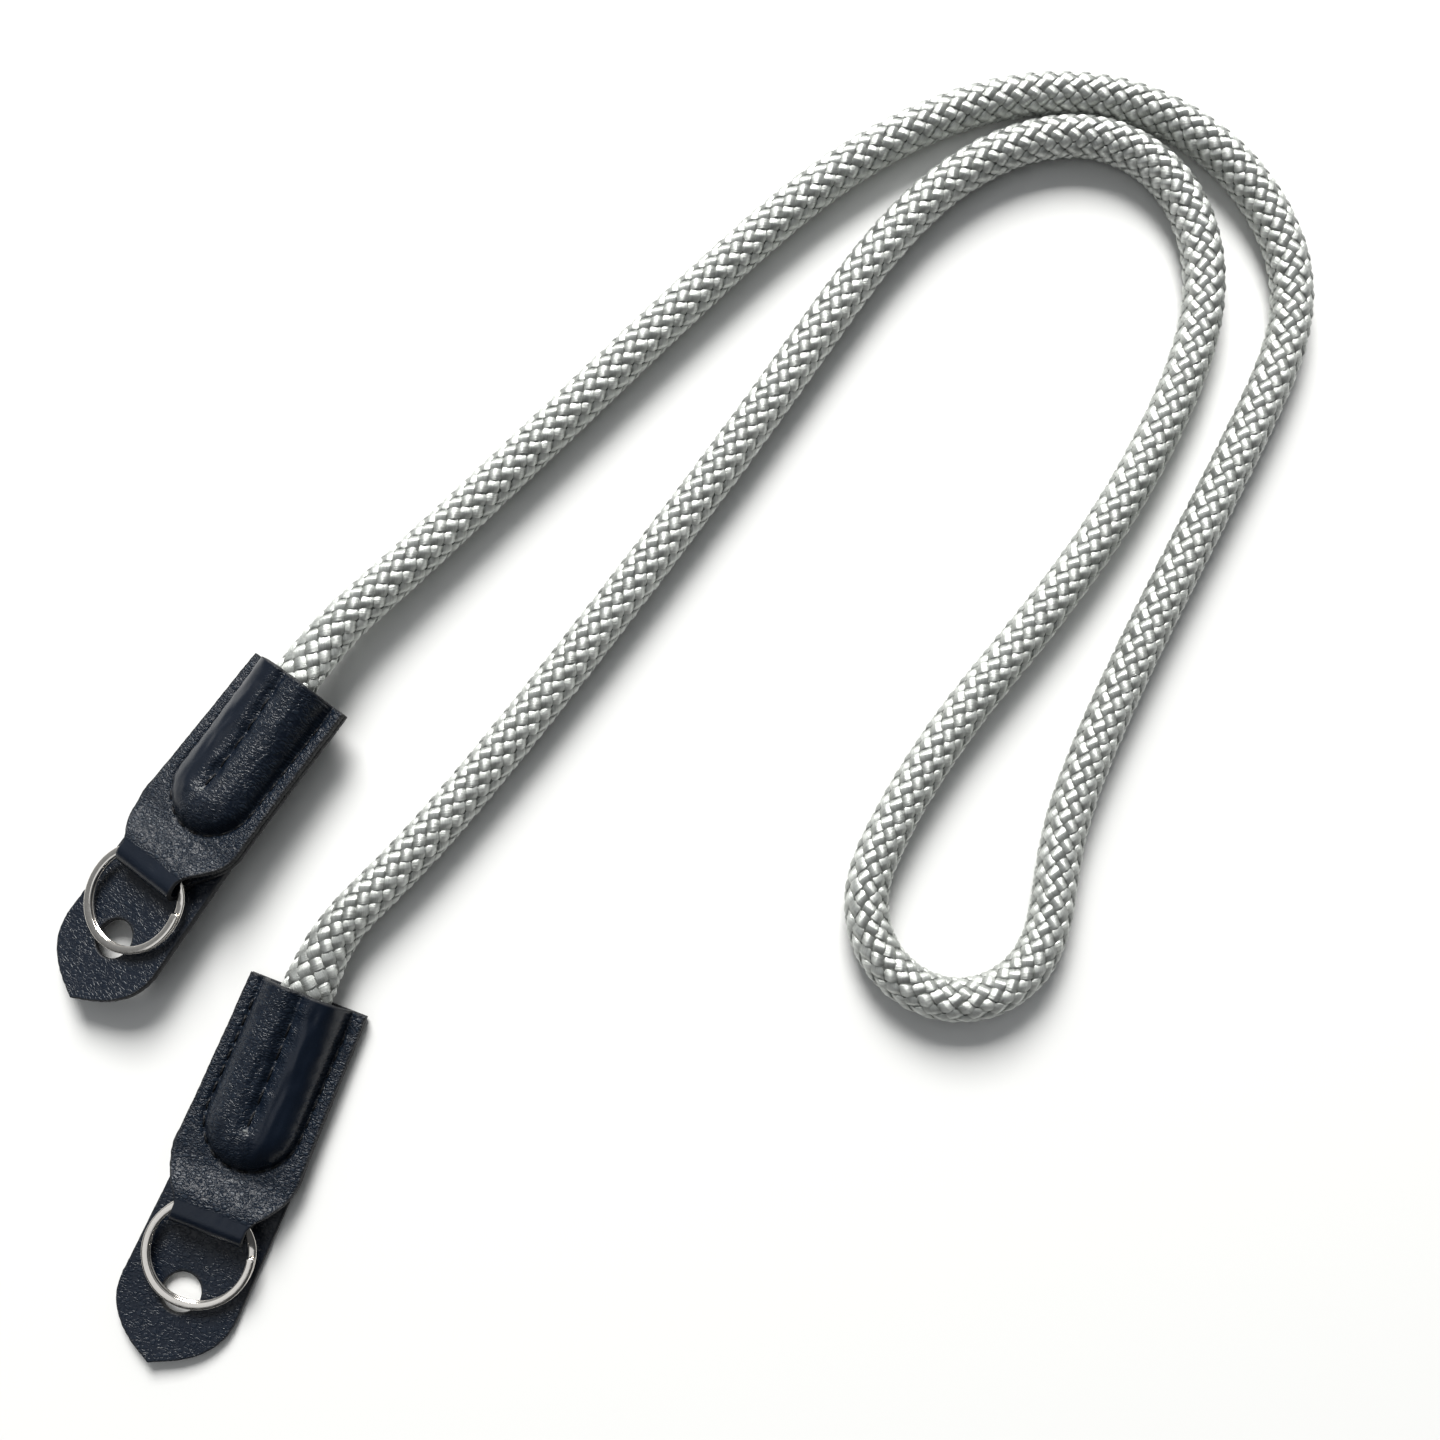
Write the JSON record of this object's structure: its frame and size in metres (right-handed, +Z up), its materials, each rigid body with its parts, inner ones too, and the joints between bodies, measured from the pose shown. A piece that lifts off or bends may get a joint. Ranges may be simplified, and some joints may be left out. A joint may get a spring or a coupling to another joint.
{
  "type": "camera neck strap",
  "caption": "Braided rope neck strap for a camera, lying in loose loops, with leather end tabs, split rings and pointed leather flaps that guard the camera's body.",
  "frame": {"origin": "on the surface that the strap lies on, under the middle of the box round the two leather and ring ends", "axes": "+Z up; +Y along the longer side of the box round the two ends, away from the viewer; the rope's loops lie towards +X and +Y"},
  "size_m": [0.2366, 0.244, 0.0131],
  "materials": {
    "rope": "silver-grey satin filament yarn, tightly braided",
    "leather": "near-black blue leather with a fine pebble grain, semi-matt",
    "thread": "black waxed sewing thread",
    "ring_steel": "polished nickel-plated spring steel"
  },
  "bodies": {
    "root": {"rope": "rope", "end_tab_a": "leather", "end_tab_b": "leather", "protector_flap_a": "leather", "protector_flap_b": "leather", "split_ring_a": "ring_steel", "split_ring_b": "ring_steel"}
  },
  "joints": []
}
